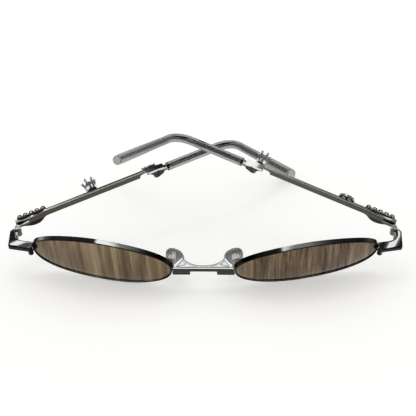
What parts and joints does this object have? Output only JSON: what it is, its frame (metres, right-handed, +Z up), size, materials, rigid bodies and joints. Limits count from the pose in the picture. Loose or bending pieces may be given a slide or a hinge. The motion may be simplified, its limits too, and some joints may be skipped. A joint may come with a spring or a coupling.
{
  "type": "sunglasses",
  "caption": "Slim oval metal sunglasses, half folded, with a cast bridge, squared end pieces, flat ornamented temples, clear tip sleeves and rocking nose pads.",
  "frame": {"origin": "middle of the bounding box's base, on the surface that the rims and one temple tip rest on", "axes": "+Z up, +X along the width of the front towards the wearer's left, +Y back along the temples; the front faces -Y and up"},
  "size_m": [0.1402, 0.0898, 0.037],
  "materials": {
    "metal": "polished",
    "lens": "mirrored brown",
    "clear_sleeve": "clear",
    "nose_pad": "clear smoky",
    "stone": "faceted"
  },
  "bodies": {
    "front": {"bridge": "metal", "left_closing_block": "metal", "left_closing_screw": "metal", "left_end_piece": "metal", "left_front_leaf": "metal", "left_hinge_screw": "metal", "left_lens": "lens", "left_pad_arm": "metal", "left_pad_box": "metal", "left_pad_pin": "metal", "left_rim": "metal", "right_closing_block": "metal", "right_closing_screw": "metal", "right_end_piece": "metal", "right_front_leaf": "metal", "right_hinge_screw": "metal", "right_lens": "lens", "right_pad_arm": "metal", "right_pad_box": "metal", "right_pad_pin": "metal", "right_rim": "metal"},
    "left_temple": {"left_core_wire": "metal", "left_crown_setting": "metal", "left_crown_stone": "stone", "left_ferrule": "metal", "left_ferrule_cluster": "metal", "left_scroll_plaque": "metal", "left_temple_bar": "metal", "left_temple_leaf": "metal", "left_tip_sleeve": "clear_sleeve"},
    "right_temple": {"right_claw_setting": "metal", "right_claw_stone": "stone", "right_core_wire": "metal", "right_ferrule": "metal", "right_openwork_clasp": "metal", "right_scroll_plaque": "metal", "right_temple_bar": "metal", "right_temple_leaf": "metal", "right_tip_sleeve": "clear_sleeve"},
    "left_pad": {"left_nose_pad": "nose_pad"},
    "right_pad": {"right_nose_pad": "nose_pad"}
  },
  "joints": [
    {"name": "left_temple_fold", "type": "hinge", "parent": "front", "child": "left_temple", "pos_m": [-0.06753, -0.02496, 0.0162], "axis": [0.0067, -0.3904, 0.9206], "range_deg": [-22.7, 61.3]},
    {"name": "right_temple_fold", "type": "hinge", "parent": "front", "child": "right_temple", "pos_m": [0.06755, -0.02525, 0.01653], "axis": [-0.0067, 0.4629, -0.8864], "range_deg": [-19.7, 64.3]},
    {"name": "left_pad_rock", "type": "hinge", "parent": "front", "child": "left_pad", "pos_m": [-0.0111, -0.03505, 0.00982], "axis": [-0.9398, 0.3122, 0.1392], "range_deg": [-8, 8]},
    {"name": "right_pad_rock", "type": "hinge", "parent": "front", "child": "right_pad", "pos_m": [0.0111, -0.03515, 0.01003], "axis": [0.9398, 0.3058, 0.1527], "range_deg": [-8, 8]}
  ]
}
